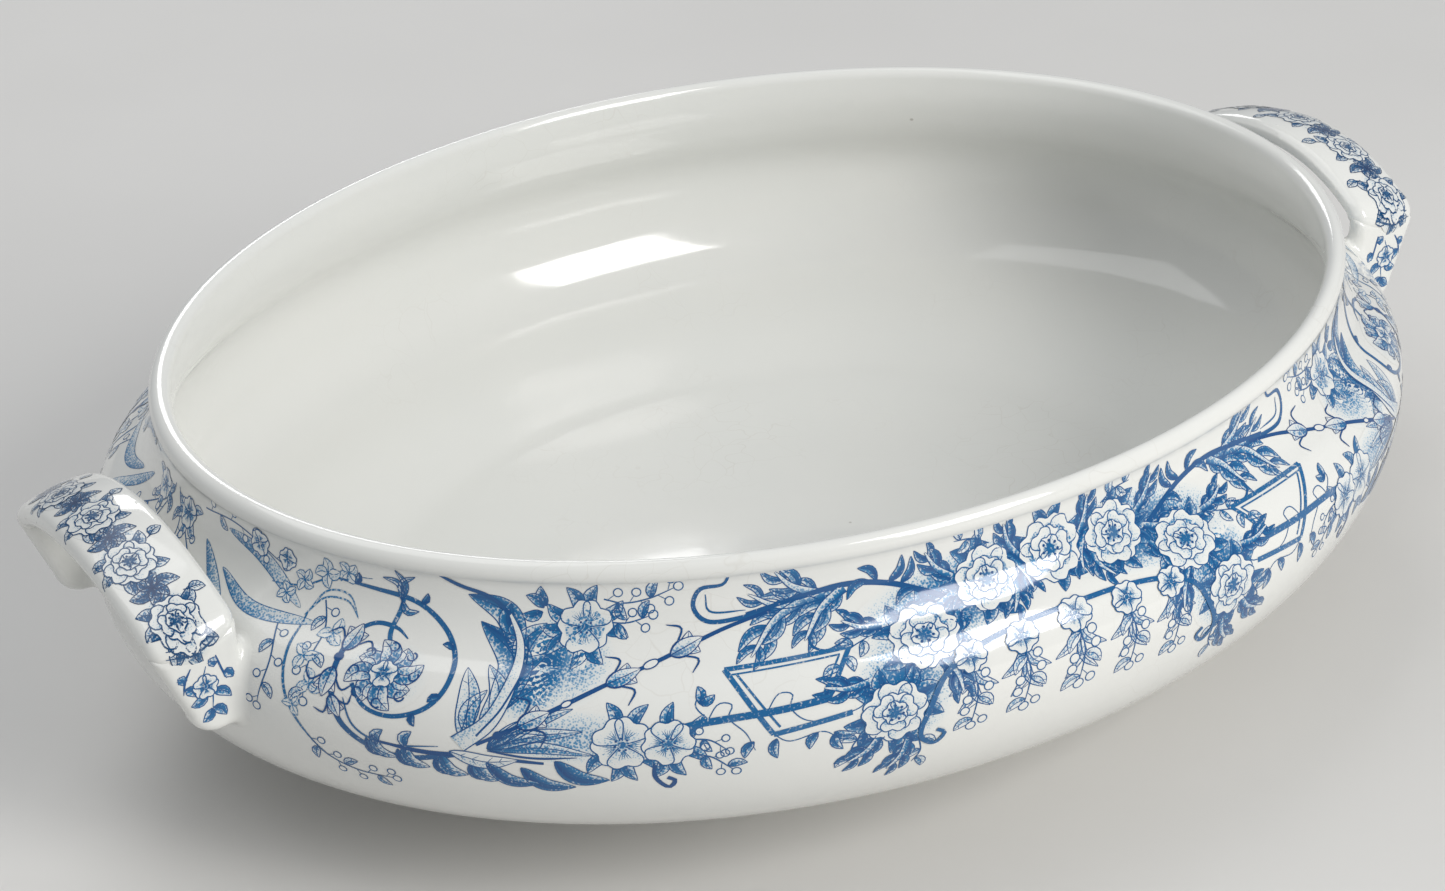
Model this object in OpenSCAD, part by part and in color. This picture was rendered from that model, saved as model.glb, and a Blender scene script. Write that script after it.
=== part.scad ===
// Oval porcelain serving bowl with a rolled lip, a hollow neck, a swelling belly,
// a foot ring and two strap handles whose ends are held by tongue-shaped pads.
// Millimetres. The foot rests on z = 0, the long side runs along X and +Z is up.
//
// The bowl's section is turned about Z and then narrowed along Y to make the oval.
// Every section is drawn through the long side, with x = 0 at the outside of the lip,
// x growing outwards, and y = height above the table.

/* [Oval] */
// length over the outside of the lip
rim_length = 260; // [250:2:270]
// width of the oval divided by its length
oval_ratio = 0.785; // [0.76:0.005:0.8]

/* [Section] */
// height of the lip above the table
bowl_height = 76; // [74:1:80]
// height of the widest line of the belly
belly_height = 45; // [43:1:47]
// how far the belly stands out beyond the lip
belly_flare = 15; // [13:1:17]
// radius of the belly above its widest line
shoulder_radius = 15; // [13:1:16]
// radius of the belly below its widest line
belly_radius = 27; // [25:1:29]
// thickness of the wall and the floor
wall = 4.2; // [4:0.1:4.6]
// radius of the rolled lip
lip_radius = 2.3; // [2.2:0.1:2.5]
// how far the neck stands in behind the lip
neck_inset = 0.6; // [0.4:0.1:0.8]
// depth of the neck below the lip
neck_drop = 5; // [4.5:0.5:6]

/* [Foot] */
// how far the foot ring stands in from the lip
foot_inset = 36; // [34:1:38]
// height of the bowl's underside inside the foot ring
base_height = 9; // [8:1:10]
// thickness of the foot ring where it rests
foot_wall = 5; // [4:0.5:6]
// how much wider the foot ring grows on each side towards the bowl
foot_spread = 1.6; // [1:0.2:2]

/* [Handles] */
// distance from the outside of the lip to the middle of the strap
strap_reach = 17.4; // [16.5:0.1:18.5]
// depth of the strap's top below the lip
strap_drop = 4.2; // [3.5:0.1:6]
// width of the strap
strap_width = 17.4; // [16:0.2:18]
// thickness of the strap
strap_thickness = 5; // [4.6:0.2:5.6]
// slope of the strap's face, outer edge down
strap_tilt = 10; // [8:1:13]
// radius of the strap's arch, at the middle of its thickness
strap_arch_radius = 55.5; // [52:0.5:60]
// how far the arch turns on each side of the middle
strap_arch_turn = 30; // [27:1:31]
// radius of the tight bend at each end of the arch, at the middle of the thickness
strap_end_radius = 4.5; // [4:0.5:5.5]

/* [Handle pads] */
// thickness of the pads that carry the strap
pad_thickness = 4.4; // [4:0.2:4.8]
// length of a pad from the strap's end to its tip
pad_length = 18.6; // [18:0.2:20]
// radius of the pad's tip
pad_tip_radius = 5.6; // [5.4:0.2:6.6]

/* [Hidden] */
// degrees between the points of an arc
arc_step = 7.5;
$fn = 96;

half_length = rim_length / 2;

// centres of the section's arcs
shoulder_centre = [belly_flare - shoulder_radius, belly_height];
belly_centre = [belly_flare - belly_radius, belly_height];
neck_point = [-neck_inset, bowl_height - neck_drop];
neck_offset = neck_point - shoulder_centre;
neck_radius = (neck_offset * neck_offset - shoulder_radius * shoulder_radius)
    / (2 * (shoulder_radius - neck_offset[0]));
neck_centre = neck_point + [neck_radius, 0];
to_neck = neck_centre - shoulder_centre;
neck_join_angle = atan2(to_neck[1], to_neck[0]);
lip_centre = [-lip_radius, bowl_height - lip_radius];
lip_join_angle = -acos((lip_radius - neck_inset) / lip_radius);

// the underside runs from the foot's outer edge and just touches the belly's lower arc
underside_start = [-foot_inset, base_height];
to_belly = belly_centre - underside_start;
underside_slope = atan2(to_belly[1], to_belly[0]) - asin(belly_radius / norm(to_belly));

// centre of the tight bend at the +Y end of the strap, seen from the top of the strap
strap_end_centre = [
    (strap_arch_radius - strap_end_radius) * sin(strap_arch_turn),
    (strap_arch_radius - strap_end_radius) * cos(strap_arch_turn) - strap_arch_radius - strap_thickness / 2
];

// points of an arc, both ends included
function arc(centre, radius, start, end) =
    let (steps = ceil(abs(end - start) / arc_step))
    [for (i = [0 : steps])
        let (angle = start + (end - start) * i / steps)
        centre + radius * [cos(angle), sin(angle)]];

// the same list without its first point, and the same list backwards
function after_first(points) = [for (i = [1 : len(points) - 1]) points[i]];
function backwards(points) = [for (i = [len(points) - 1 : -1 : 0]) points[i]];

// belly, shoulder and neck from the underside up, moved outwards by `grow`
function side_curve(grow) = concat(
    arc(belly_centre, belly_radius + grow, underside_slope - 90, 0),
    after_first(arc(shoulder_centre, shoulder_radius + grow, 0, neck_join_angle)),
    after_first(arc(neck_centre, neck_radius - grow, 180 + neck_join_angle, 180))
);

// the underside from the middle of the bowl outwards, moved outwards by `grow`
function underside(grow) = [
    [-half_length, base_height - grow],
    underside_start + grow * [tan(underside_slope / 2), -1]
];

// a quarter of the oval, on the side of +X and +Y: the section turned about Z and narrowed
module oval_quarter() {
    scale([1, oval_ratio, 1])
    rotate_extrude(angle = 90, start = 0)
    translate([half_length, 0])
    children();
}

// the whole oval
module oval_turn() {
    for (x = [0, 1], y = [0, 1]) {
        mirror([x, 0, 0])
        mirror([0, y, 0])
        oval_quarter()
        children();
    }
}

// the wall: up the outside, over the rolled lip and down the inside
module wall_section() {
    polygon(concat(
        underside(0),
        side_curve(0),
        arc(lip_centre, lip_radius, lip_join_angle, 180),
        backwards(side_curve(-wall)),
        backwards(underside(-wall))
    ));
}

// the bowl filled up to its neck
module filled_section() {
    polygon(concat(
        underside(0),
        side_curve(0),
        [[-half_length, neck_point[1]]]
    ));
}

// upright ring that spreads towards the bowl and fits its underside; it runs on below the table
module foot_section() {
    spare = 2;
    outer_spread = foot_spread / (1 - foot_spread * tan(underside_slope) / base_height);
    polygon([
        [-foot_inset - foot_wall, -spare],
        [-foot_inset, -spare],
        [-foot_inset, 0],
        underside_start + outer_spread * [1, tan(underside_slope)],
        underside_start,
        underside_start - [foot_wall + foot_spread, 0],
        [-foot_inset - foot_wall, 0]
    ]);
}

// flat strip with round edges and a gently domed top; the top faces +y
module strap_section() {
    dome_radius = 30;
    edge_radius = strap_thickness / 2;
    edge = strap_width / 2 - edge_radius;
    dome_angle = asin(edge / (dome_radius - edge_radius));
    dome_centre = [0, edge_radius - dome_radius];
    edge_height = (dome_radius - edge_radius) * cos(dome_angle) + dome_centre[1];
    polygon(concat(
        arc(dome_centre, dome_radius, 90 - dome_angle, 90 + dome_angle),
        after_first(arc([-edge, edge_height], edge_radius, 90 + dome_angle, 270)),
        arc([edge, edge_height], edge_radius, 270, 450 - dome_angle)
    ));
}

// Places its children at the right-hand handle: the top of the strap at the origin,
// the strap running along Y and its width along X.
module at_right_handle() {
    translate([half_length + strap_reach, 0, bowl_height - strap_drop])
    rotate([0, strap_tilt, 0])
    children();
}

// The strap bent to a radius about an axis along X: `start` and `turn` are degrees,
// where 90 points along +Y and 180 points straight up.
module bent_strap(radius, start, turn) {
    rotate([0, 90, 0])
    rotate_extrude(angle = turn, start = start)
    translate([radius, 0])
    rotate([0, 0, -90])
    strap_section();
}

// the tight bend that turns the +Y end of the arch straight down onto its pad
module strap_end() {
    translate([0, strap_end_centre[0], strap_end_centre[1]])
    bent_strap(strap_end_radius, 90, 90 - strap_arch_turn);
}

// an arched strip with a tight bend at either end
module right_handle_strap() {
    at_right_handle() {
        translate([0, 0, -strap_arch_radius - strap_thickness / 2])
        bent_strap(strap_arch_radius, 180 - strap_arch_turn, 2 * strap_arch_turn);

        strap_end();
        mirror([0, 1, 0])
        strap_end();
    }
}

// tongue hanging from the origin: as wide as the strap at the top, with a round tip below
module tongue_outline() {
    tip_centre = pad_tip_radius - pad_length;
    half_top = strap_width / 2 - 0.4;
    lean = asin((half_top - pad_tip_radius) / -tip_centre);
    polygon(concat(
        [[half_top, 0], [-half_top, 0]],
        arc([0, tip_centre], pad_tip_radius, 180 + lean, 360 - lean)
    ));
}

// pad at the back of the right-hand end: it hangs below the strap's end and is cut to fit the bowl
module right_handle_pad() {
    pad_back = strap_end_centre[0] + strap_end_radius + pad_thickness / 2;
    difference() {
        at_right_handle()
        translate([0, pad_back, strap_end_centre[1]])
        rotate([90, 0, 0])
        linear_extrude(height = pad_thickness)
        tongue_outline();

        oval_quarter()
        filled_section();
    }
}

module bowl_body() {
    color([0.9, 0.9, 0.87])
    oval_turn()
    wall_section();
}

module foot_ring() {
    color([0.86, 0.86, 0.83])
    difference() {
        oval_turn()
        foot_section();
        translate([-half_length, -half_length, -rim_length])
        cube(rim_length);
    }
}

module left_strap() {
    color([0.55, 0.63, 0.76])
    mirror([1, 0, 0])
    right_handle_strap();
}

module right_strap() {
    color([0.55, 0.63, 0.76])
    right_handle_strap();
}

module left_front_pad() {
    color([0.8, 0.82, 0.84])
    mirror([1, 0, 0])
    mirror([0, 1, 0])
    right_handle_pad();
}

module left_back_pad() {
    color([0.8, 0.82, 0.84])
    mirror([1, 0, 0])
    right_handle_pad();
}

module right_front_pad() {
    color([0.8, 0.82, 0.84])
    mirror([0, 1, 0])
    right_handle_pad();
}

module right_back_pad() {
    color([0.8, 0.82, 0.84])
    right_handle_pad();
}

bowl_body();
foot_ring();
left_strap();
right_strap();
left_front_pad();
left_back_pad();
right_front_pad();
right_back_pad();
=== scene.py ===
import math

import bpy
import numpy as np
from mathutils import Matrix, Vector


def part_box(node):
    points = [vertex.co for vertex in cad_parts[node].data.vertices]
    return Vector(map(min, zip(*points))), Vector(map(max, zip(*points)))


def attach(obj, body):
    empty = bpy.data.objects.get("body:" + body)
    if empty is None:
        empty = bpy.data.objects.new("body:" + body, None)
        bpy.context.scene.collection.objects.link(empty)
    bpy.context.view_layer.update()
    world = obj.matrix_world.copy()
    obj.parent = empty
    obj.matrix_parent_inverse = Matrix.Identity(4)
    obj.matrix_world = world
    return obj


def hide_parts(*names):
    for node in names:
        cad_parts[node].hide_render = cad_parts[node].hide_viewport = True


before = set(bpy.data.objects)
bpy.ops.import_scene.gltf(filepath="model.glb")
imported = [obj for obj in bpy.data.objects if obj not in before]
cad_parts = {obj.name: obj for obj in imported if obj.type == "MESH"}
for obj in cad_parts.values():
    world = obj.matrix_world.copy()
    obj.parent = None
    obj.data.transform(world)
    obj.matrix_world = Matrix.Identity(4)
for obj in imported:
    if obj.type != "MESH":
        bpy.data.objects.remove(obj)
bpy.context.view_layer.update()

# Looks of an oval porcelain serving bowl with a blue transfer print. Lengths below are millimetres
# unless a name says otherwise; MM turns them into the frame's metres when a mesh is made.
MM = 0.001

# ---------------------------------------------------------------- the bowl's section
# x is measured outwards from the outside of the lip, z upwards from the table.
belly_high = np.array(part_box("bowl_body")[1]) / MM
BOWL_HEIGHT = belly_high[2]
BELLY_FLARE = 15.0
HALF_LENGTH = belly_high[0] - BELLY_FLARE
OVAL_RATIO = belly_high[1] / belly_high[0]
BELLY_HEIGHT = 45.0
SHOULDER_RADIUS = 15.0
BELLY_RADIUS = 27.0
WALL = 4.2
LIP_RADIUS = 2.3
NECK_INSET = 0.6
NECK_DROP = 5.0
FOOT_INSET = 36.0
BASE_HEIGHT = 9.0
FOOT_WALL = 5.0
FOOT_SPREAD = 1.6
FOOT_SOFT_EDGE = 1.3
FOOT_OVERLAP = 0.3
FLOOR_BEND_RADIUS = 40.0
FLOOR_BEND_INSET = 9.0
INSIDE_EASE = 5.0
FLAT_STEP = 6.0
BOWL_STEPS = 480
FOOT_STEPS = 360

SHOULDER_CENTRE = np.array([BELLY_FLARE - SHOULDER_RADIUS, BELLY_HEIGHT])
BELLY_CENTRE = np.array([BELLY_FLARE - BELLY_RADIUS, BELLY_HEIGHT])
NECK_POINT = np.array([-NECK_INSET, BOWL_HEIGHT - NECK_DROP])
neck_offset = NECK_POINT - SHOULDER_CENTRE
NECK_RADIUS = (neck_offset @ neck_offset - SHOULDER_RADIUS**2) / (2 * (SHOULDER_RADIUS - neck_offset[0]))
NECK_CENTRE = NECK_POINT + [NECK_RADIUS, 0]
to_neck = NECK_CENTRE - SHOULDER_CENTRE
NECK_JOIN = math.atan2(to_neck[1], to_neck[0])
LIP_CENTRE = np.array([-LIP_RADIUS, BOWL_HEIGHT - LIP_RADIUS])
LIP_JOIN = -math.acos((LIP_RADIUS - NECK_INSET) / LIP_RADIUS)
UNDERSIDE_START = np.array([-FOOT_INSET, BASE_HEIGHT])
to_belly = BELLY_CENTRE - UNDERSIDE_START
UNDERSIDE_SLOPE = math.atan2(to_belly[1], to_belly[0]) - math.asin(BELLY_RADIUS / np.hypot(*to_belly))

# lengths along the outside, from the neck down to the underside
NECK_LENGTH = NECK_RADIUS * NECK_JOIN
SHOULDER_LENGTH = SHOULDER_RADIUS * NECK_JOIN


def arc(centre, radius, start, end, step=1.0):
    """Points of an arc, both ends included, about `step` apart. Angles in radians."""
    count = max(2, int(abs(end - start) * radius / step) + 2)
    angle = np.linspace(start, end, count)
    return np.stack([centre[0] + radius * np.cos(angle), centre[1] + radius * np.sin(angle)], -1)


def joined(*runs):
    """One outline from several that start where the last one ended."""
    return np.concatenate([runs[0]] + [run[1:] for run in runs[1:]])


def line(start, end, step=1.5):
    """Points along a straight line, both ends included."""
    count = max(2, int(np.hypot(*(np.array(end) - start)) / step) + 2)
    return np.linspace(start, end, count)


def side_curve(grow):
    """Belly, shoulder and neck from the underside up, moved outwards by `grow`."""
    return joined(
        arc(BELLY_CENTRE, BELLY_RADIUS + grow, UNDERSIDE_SLOPE - math.pi / 2, 0),
        arc(SHOULDER_CENTRE, SHOULDER_RADIUS + grow, 0, NECK_JOIN),
        arc(NECK_CENTRE, NECK_RADIUS - grow, math.pi + NECK_JOIN, math.pi),
    )


def softened(points, reach, step=0.5):
    """The same line with its bends eased over `reach`; its two ends stay where they are."""
    length = np.r_[0, np.cumsum(np.hypot(*np.diff(points, axis=0).T))]
    along = np.linspace(0, length[-1], int(length[-1] / step) + 1)
    even = np.stack([np.interp(along, length, points[:, i]) for i in range(2)], -1)
    away = (along[:, None] - along[None, :]) / np.maximum(reach, 1e-3)
    room = np.minimum(along, along[-1] - along)[:, None] / reach
    weight = np.exp(-0.5 * (away / np.clip(room / 2, 0.02, 1)) ** 2)
    return weight @ even / weight.sum(1, keepdims=True)


def wall_section():
    """The wall from the middle of the underside, over the lip, to the middle of the floor."""
    outside, inside = side_curve(0), side_curve(-WALL)
    lip = arc(LIP_CENTRE, LIP_RADIUS, LIP_JOIN, math.pi, step=0.4)
    bend = UNDERSIDE_START + np.array([math.tan(UNDERSIDE_SLOPE / 2), 1]) * [-WALL, WALL]
    floor_centre = bend + [-FLOOR_BEND_INSET, FLOOR_BEND_RADIUS]
    slope_end = -math.pi / 2 + UNDERSIDE_SLOPE * 0.98
    floor_bend = arc(floor_centre, FLOOR_BEND_RADIUS, -math.pi / 2, slope_end)
    floor_edge = floor_bend[0]
    inner_wall = joined(
        line(lip[-1], inside[-1]),
        inside[::-1],
        line(inside[0], floor_bend[-1]),
        floor_bend[::-1],
    )
    return joined(
        line([-HALF_LENGTH, BASE_HEIGHT], UNDERSIDE_START, step=FLAT_STEP),
        line(UNDERSIDE_START, outside[0], step=4.0),
        outside,
        line(outside[-1], lip[0]),
        lip,
        softened(inner_wall, INSIDE_EASE)[::3],
        line(floor_edge, [-HALF_LENGTH, floor_edge[1]], step=FLAT_STEP),
    )


def outside_point(down):
    """Section point and outward normal at a length `down` the outside from the neck."""
    down = np.asarray(down, float)
    on_neck = down < NECK_LENGTH
    on_shoulder = ~on_neck & (down < NECK_LENGTH + SHOULDER_LENGTH)
    neck = math.pi + down / NECK_RADIUS
    shoulder = NECK_JOIN - (down - NECK_LENGTH) / SHOULDER_RADIUS
    belly = -(down - NECK_LENGTH - SHOULDER_LENGTH) / BELLY_RADIUS
    angle = np.where(on_neck, neck, np.where(on_shoulder, shoulder, belly))
    picks = [on_neck[..., None], on_shoulder[..., None]]
    centre = np.where(picks[0], NECK_CENTRE, np.where(picks[1], SHOULDER_CENTRE, BELLY_CENTRE))
    radius = np.where(on_neck, NECK_RADIUS, np.where(on_shoulder, SHOULDER_RADIUS, BELLY_RADIUS))
    direction = np.stack([np.cos(angle), np.sin(angle)], -1)
    above = down < 0
    point = centre + radius[..., None] * direction
    point = np.where(above[..., None], np.stack([0 * down - NECK_INSET, NECK_POINT[1] - down], -1), point)
    direction = np.where(above[..., None], [-1.0, 0.0], direction)
    return point, np.where((on_neck | above)[..., None], -direction, direction)


def around(section, turn):
    """Section points (x, z) set at an angle about Z on the oval."""
    reach = HALF_LENGTH + section[..., 0]
    return np.stack(
        [reach * np.cos(turn), OVAL_RATIO * reach * np.sin(turn), section[..., 1] + 0 * turn], -1
    )


# angle on the oval for a length along the widest line, counted from the middle of the front
turn_table = np.linspace(-math.pi, math.pi, 3601)
belly_line = around(np.array([BELLY_FLARE, BELLY_HEIGHT]), turn_table)
length_table = np.r_[0, np.cumsum(np.linalg.norm(np.diff(belly_line, axis=0), axis=1))]
GIRTH = length_table[-1]
length_table -= np.interp(-math.pi / 2, turn_table, length_table)


def on_bowl(along, down, lift):
    """Points `lift` above the outside, and their normals, for lengths along and down the print."""
    along = (along - length_table[0]) % GIRTH + length_table[0]
    turn = np.interp(along, length_table, turn_table)
    section, normal = outside_point(down)
    point = around(section, turn)
    normal = np.stack(
        [normal[:, 0] * np.cos(turn), normal[:, 0] * np.sin(turn) / OVAL_RATIO, normal[:, 1]], -1
    )
    normal /= np.linalg.norm(normal, axis=1, keepdims=True)
    return point + normal * np.asarray(lift)[:, None], normal


# ---------------------------------------------------------------- meshes
def make_object(name, points, faces, material):
    """A smooth mesh object from points in millimetres that rides on the bowl."""
    mesh = bpy.data.meshes.new(name)
    mesh.from_pydata((np.asarray(points) * MM).tolist(), [], [list(face) for face in faces])
    mesh.polygons.foreach_set("use_smooth", [True] * len(mesh.polygons))
    mesh.materials.append(material)
    mesh.update()
    obj = bpy.data.objects.new(name, mesh)
    bpy.context.scene.collection.objects.link(obj)
    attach(obj, "root")
    return obj


def turned(section, steps, closed):
    """Points and faces of a section turned once round the oval."""
    turn = np.linspace(0, 2 * math.pi, steps, endpoint=False)
    points = np.concatenate([around(section, angle) for angle in turn])
    rows = len(section)
    faces = []
    for i in range(steps):
        here, there = i * rows, (i + 1) % steps * rows
        for j in range(rows if closed else rows - 1):
            k = (j + 1) % rows
            faces.append((here + j, there + j, there + k, here + k))
    return points, faces


def bowl_mesh(material):
    """The bowl's wall as one closed skin, with a single point in the middle of floor and underside."""
    section = wall_section()
    points, faces = turned(section[1:-1], BOWL_STEPS, closed=False)
    rows = len(section) - 2
    middle_low, middle_high = len(points), len(points) + 1
    points = np.concatenate([points, [[0, 0, section[0, 1]], [0, 0, section[-1, 1]]]])
    for i in range(BOWL_STEPS):
        here, there = i * rows, (i + 1) % BOWL_STEPS * rows
        faces.append((middle_low, there, here))
        faces.append((middle_high, here + rows - 1, there + rows - 1))
    return make_object("bowl_skin", points, faces, material)


def foot_mesh(material):
    """The foot ring with softly rounded resting edges."""
    soft = FOOT_SOFT_EDGE
    inner, outer = -FOOT_INSET - FOOT_WALL, -FOOT_INSET
    top = BASE_HEIGHT + FOOT_OVERLAP
    top_inner = [inner - FOOT_SPREAD, top]
    outwards = np.array([1, math.tan(UNDERSIDE_SLOPE)])
    top_outer = UNDERSIDE_START + FOOT_SPREAD * outwards + [0, FOOT_OVERLAP]
    section = joined(
        arc([outer - soft, soft], soft, -math.pi / 2, 0, step=0.3),
        line([outer, soft], top_outer),
        line(top_outer, top_inner),
        line(top_inner, [inner, soft]),
        arc([inner + soft, soft], soft, math.pi, 1.5 * math.pi, step=0.3),
    )
    points, faces = turned(section, FOOT_STEPS, closed=True)
    return make_object("foot_skin", points, faces, material)


# ---------------------------------------------------------------- handles as distance fields
STRAP_REACH = 17.4
STRAP_DROP = 4.2
STRAP_TILT = math.radians(10)
STRAP_HALF_WIDTH = 8.7
STRAP_HALF_THICKNESS = 2.5
STRAP_ARCH = 55.5
STRAP_ARCH_TURN = math.radians(30)
STRAP_END = 4.5
STRAP_DOME = 30.0
STRAP_CORNER = 2.0
LIP_ROLL = 0.5
LIP_OVERHANG = 1.5
LIP_EDGE = 2.2
PAD_CROWN = 0.5
PAD_CORNER = 2.0
PAD_FILLET = 3.2
PAD_SIDE_STEP = 0.4
HANDLE_CELL = 0.45
INK_LIFT = 0.03
SETTLE_ROUNDS = 8
ARCH_Z = -STRAP_HALF_THICKNESS - STRAP_ARCH
ARCH_LENGTH = STRAP_ARCH * STRAP_ARCH_TURN
PATH_END = ARCH_LENGTH + STRAP_END * (math.pi / 2 - STRAP_ARCH_TURN)
END_Y = (STRAP_ARCH - STRAP_END) * math.sin(STRAP_ARCH_TURN)
END_Z = ARCH_Z + (STRAP_ARCH - STRAP_END) * math.cos(STRAP_ARCH_TURN)
PAD_MIDDLE = END_Y + STRAP_END
PAD_HALF_THICKNESS = 2.2
PAD_LENGTH = 18.6
PAD_TIP = 5.6
TIP_CENTRE = END_Z - PAD_LENGTH + PAD_TIP
HANDLE_ORIGIN = np.array([HALF_LENGTH + STRAP_REACH, 0, BOWL_HEIGHT - STRAP_DROP])


def to_handle(points):
    """Frame points as seen from the right-hand handle: x outwards across the strap, z up from its top."""
    offset = points - HANDLE_ORIGIN
    c, s = math.cos(STRAP_TILT), math.sin(STRAP_TILT)
    across, along, up = offset[..., 0], offset[..., 1], offset[..., 2]
    return across * c - up * s, along, across * s + up * c


def from_handle(x, y, z):
    """The opposite of to_handle."""
    c, s = math.cos(STRAP_TILT), math.sin(STRAP_TILT)
    return np.stack([x * c + z * s, y, -x * s + z * c], -1) + HANDLE_ORIGIN


def smooth_least(a, b, blend):
    """The lesser of two fields with a fillet of about `blend` between them."""
    share = np.clip(0.5 + 0.5 * (b - a) / blend, 0, 1)
    return b + (a - b) * share - blend * share * (1 - share)


def rounded_box(a, b, radius):
    """Distance from two distances to flat sides, with a rounded corner between them."""
    a, b = a + radius, b + radius
    return np.minimum(np.maximum(a, b), 0) + np.hypot(np.maximum(a, 0), np.maximum(b, 0)) - radius


def bowl_field(points):
    """Distance outwards from the bowl's outside between the foot and the neck."""
    x = np.hypot(points[..., 0], points[..., 1] / OVAL_RATIO) - HALF_LENGTH
    z = points[..., 2]
    belly = np.hypot(x - BELLY_CENTRE[0], z - BELLY_CENTRE[1]) - BELLY_RADIUS
    shoulder = np.hypot(x - SHOULDER_CENTRE[0], z - SHOULDER_CENTRE[1]) - SHOULDER_RADIUS
    neck = NECK_RADIUS - np.hypot(x - NECK_CENTRE[0], z - NECK_CENTRE[1])
    angle = np.arctan2(z - SHOULDER_CENTRE[1], x - SHOULDER_CENTRE[0])
    upper = np.where(angle < NECK_JOIN, shoulder, neck)
    return np.where(z < BELLY_HEIGHT, belly, np.where(z > NECK_POINT[1], x + NECK_INSET, upper))


def lip_end(x):
    """Where the strap's rolled end lies along its length; it bows down in the middle."""
    return PATH_END + LIP_OVERHANG - x**2 / 40


def lip_roll(along, x):
    """How far the rolled end stands proud of the strap."""
    return LIP_ROLL * np.exp(-(((along - lip_end(x) + 2.0) / 2.2) ** 2))


def strap_field(points):
    """Distance to the strap: a domed arch that bends down at both ends into a rolled lip."""
    x, y, z = to_handle(points)
    y = np.abs(y)
    arch_turn = np.arctan2(y, z - ARCH_Z)
    end_turn = np.arctan2(y - END_Y, z - END_Z)
    on_arch = arch_turn < STRAP_ARCH_TURN
    below = (z < END_Z) & ~on_arch
    arch_out = np.hypot(y, z - ARCH_Z) - STRAP_ARCH
    end_out = np.where(below, y - END_Y, np.hypot(y - END_Y, z - END_Z)) - STRAP_END
    out = np.where(on_arch, arch_out, end_out)
    end_along = np.where(
        below, PATH_END + END_Z - z, ARCH_LENGTH + STRAP_END * (end_turn - STRAP_ARCH_TURN)
    )
    along = np.where(on_arch, STRAP_ARCH * arch_turn, end_along)
    roll = lip_roll(along, x) * np.clip(out + 0.5, 0, 1)
    dome = np.clip(out + 0.5, 0, 1) * x**2 / (2 * STRAP_DOME)
    flat = rounded_box(
        np.abs(x) - STRAP_HALF_WIDTH, np.abs(out) + dome - STRAP_HALF_THICKNESS - roll, STRAP_CORNER
    )
    return -smooth_least(-flat, -(along - lip_end(x)), LIP_EDGE)


def pad_field(points):
    """Distance to the tongue below the strap's +Y end, run out onto the bowl with a fillet."""
    x, y, z = to_handle(points)
    half_top = STRAP_HALF_WIDTH - PAD_SIDE_STEP
    half = PAD_TIP + (half_top - PAD_TIP) * np.clip((z - TIP_CENTRE) / (END_Z - TIP_CENTRE), 0, 1.2)
    outline = np.where(z > TIP_CENTRE, np.abs(x) - half, np.hypot(x, z - TIP_CENTRE) - PAD_TIP)
    outline = np.maximum(outline, z - END_Z - LIP_OVERHANG)
    crown = PAD_CROWN * (1 - (x / half_top) ** 2)
    tongue = rounded_box(outline, np.abs(y - PAD_MIDDLE) - PAD_HALF_THICKNESS - crown, PAD_CORNER)
    bowl = bowl_field(points)
    spread = smooth_least(tongue, bowl, PAD_FILLET) + INK_LIFT
    return np.maximum(np.maximum(spread, -bowl - 1.2), tongue - 6)


def slope_of(field, points, probe=0.02):
    """The field's gradient at each point."""
    slopes = [
        (field(points + probe * axis) - field(points - probe * axis)) / (2 * probe) for axis in np.eye(3)
    ]
    return np.stack(slopes, -1)


def settled(points, field, lift):
    """Points moved to where the field equals `lift`, and the surface's normals there."""
    for _ in range(SETTLE_ROUNDS):
        slope = slope_of(field, points)
        off = (field(points) - lift) / np.maximum((slope**2).sum(1), 0.2)
        points = points - off[:, None] * slope
    return points, slope / np.linalg.norm(slope, axis=1, keepdims=True)


def isosurface(field, low, high, step):
    """Quads round the region where the field is negative, one corner in each cell that it crosses."""
    low, high = np.array(low, float), np.array(high, float)
    counts = np.ceil((high - low) / step).astype(int) + 1
    grid = np.stack(
        np.meshgrid(*[low[i] + step * np.arange(counts[i]) for i in range(3)], indexing="ij"), -1
    )
    inside = field(grid) < 0
    shifts = [(i, j, k) for i in (0, 1) for j in (0, 1) for k in (0, 1)]
    size = counts - 1
    filled = sum(inside[i:i + size[0], j:j + size[1], k:k + size[2]].astype(int) for i, j, k in shifts)
    crossed = (filled > 0) & (filled < 8)
    number = np.full(size, -1)
    number[crossed] = np.arange(crossed.sum())
    start = low + step * (np.argwhere(crossed) + 0.5)
    points = start.copy()
    for _ in range(SETTLE_ROUNDS):
        slope = slope_of(field, points)
        move = -field(points)[:, None] * slope / np.maximum((slope**2).sum(1, keepdims=True), 0.2)
        points = np.clip(points + 0.8 * move, start - 0.75 * step, start + 0.75 * step)
    faces = []
    for axis in range(3):
        side, up = np.eye(3, dtype=int)[(axis + 1) % 3], np.eye(3, dtype=int)[(axis + 2) % 3]
        here = np.take(inside, range(counts[axis] - 1), axis)
        there = np.take(inside, range(1, counts[axis]), axis)
        for solid_first, edges in ((True, here & ~there), (False, ~here & there)):
            cell = np.argwhere(edges)
            around_edge = [cell - side - up, cell - up, cell, cell - side]
            if not solid_first:
                around_edge.reverse()
            faces.append(np.stack([number[tuple(c.T)] for c in around_edge], -1))
    return points, np.concatenate(faces)


def mirrored(points, faces, flip_x, flip_y):
    """The same mesh on another side of the bowl, its faces still looking outwards."""
    points = points * [-1 if flip_x else 1, -1 if flip_y else 1, 1]
    return points, faces[:, ::-1] if flip_x != flip_y else faces


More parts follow.
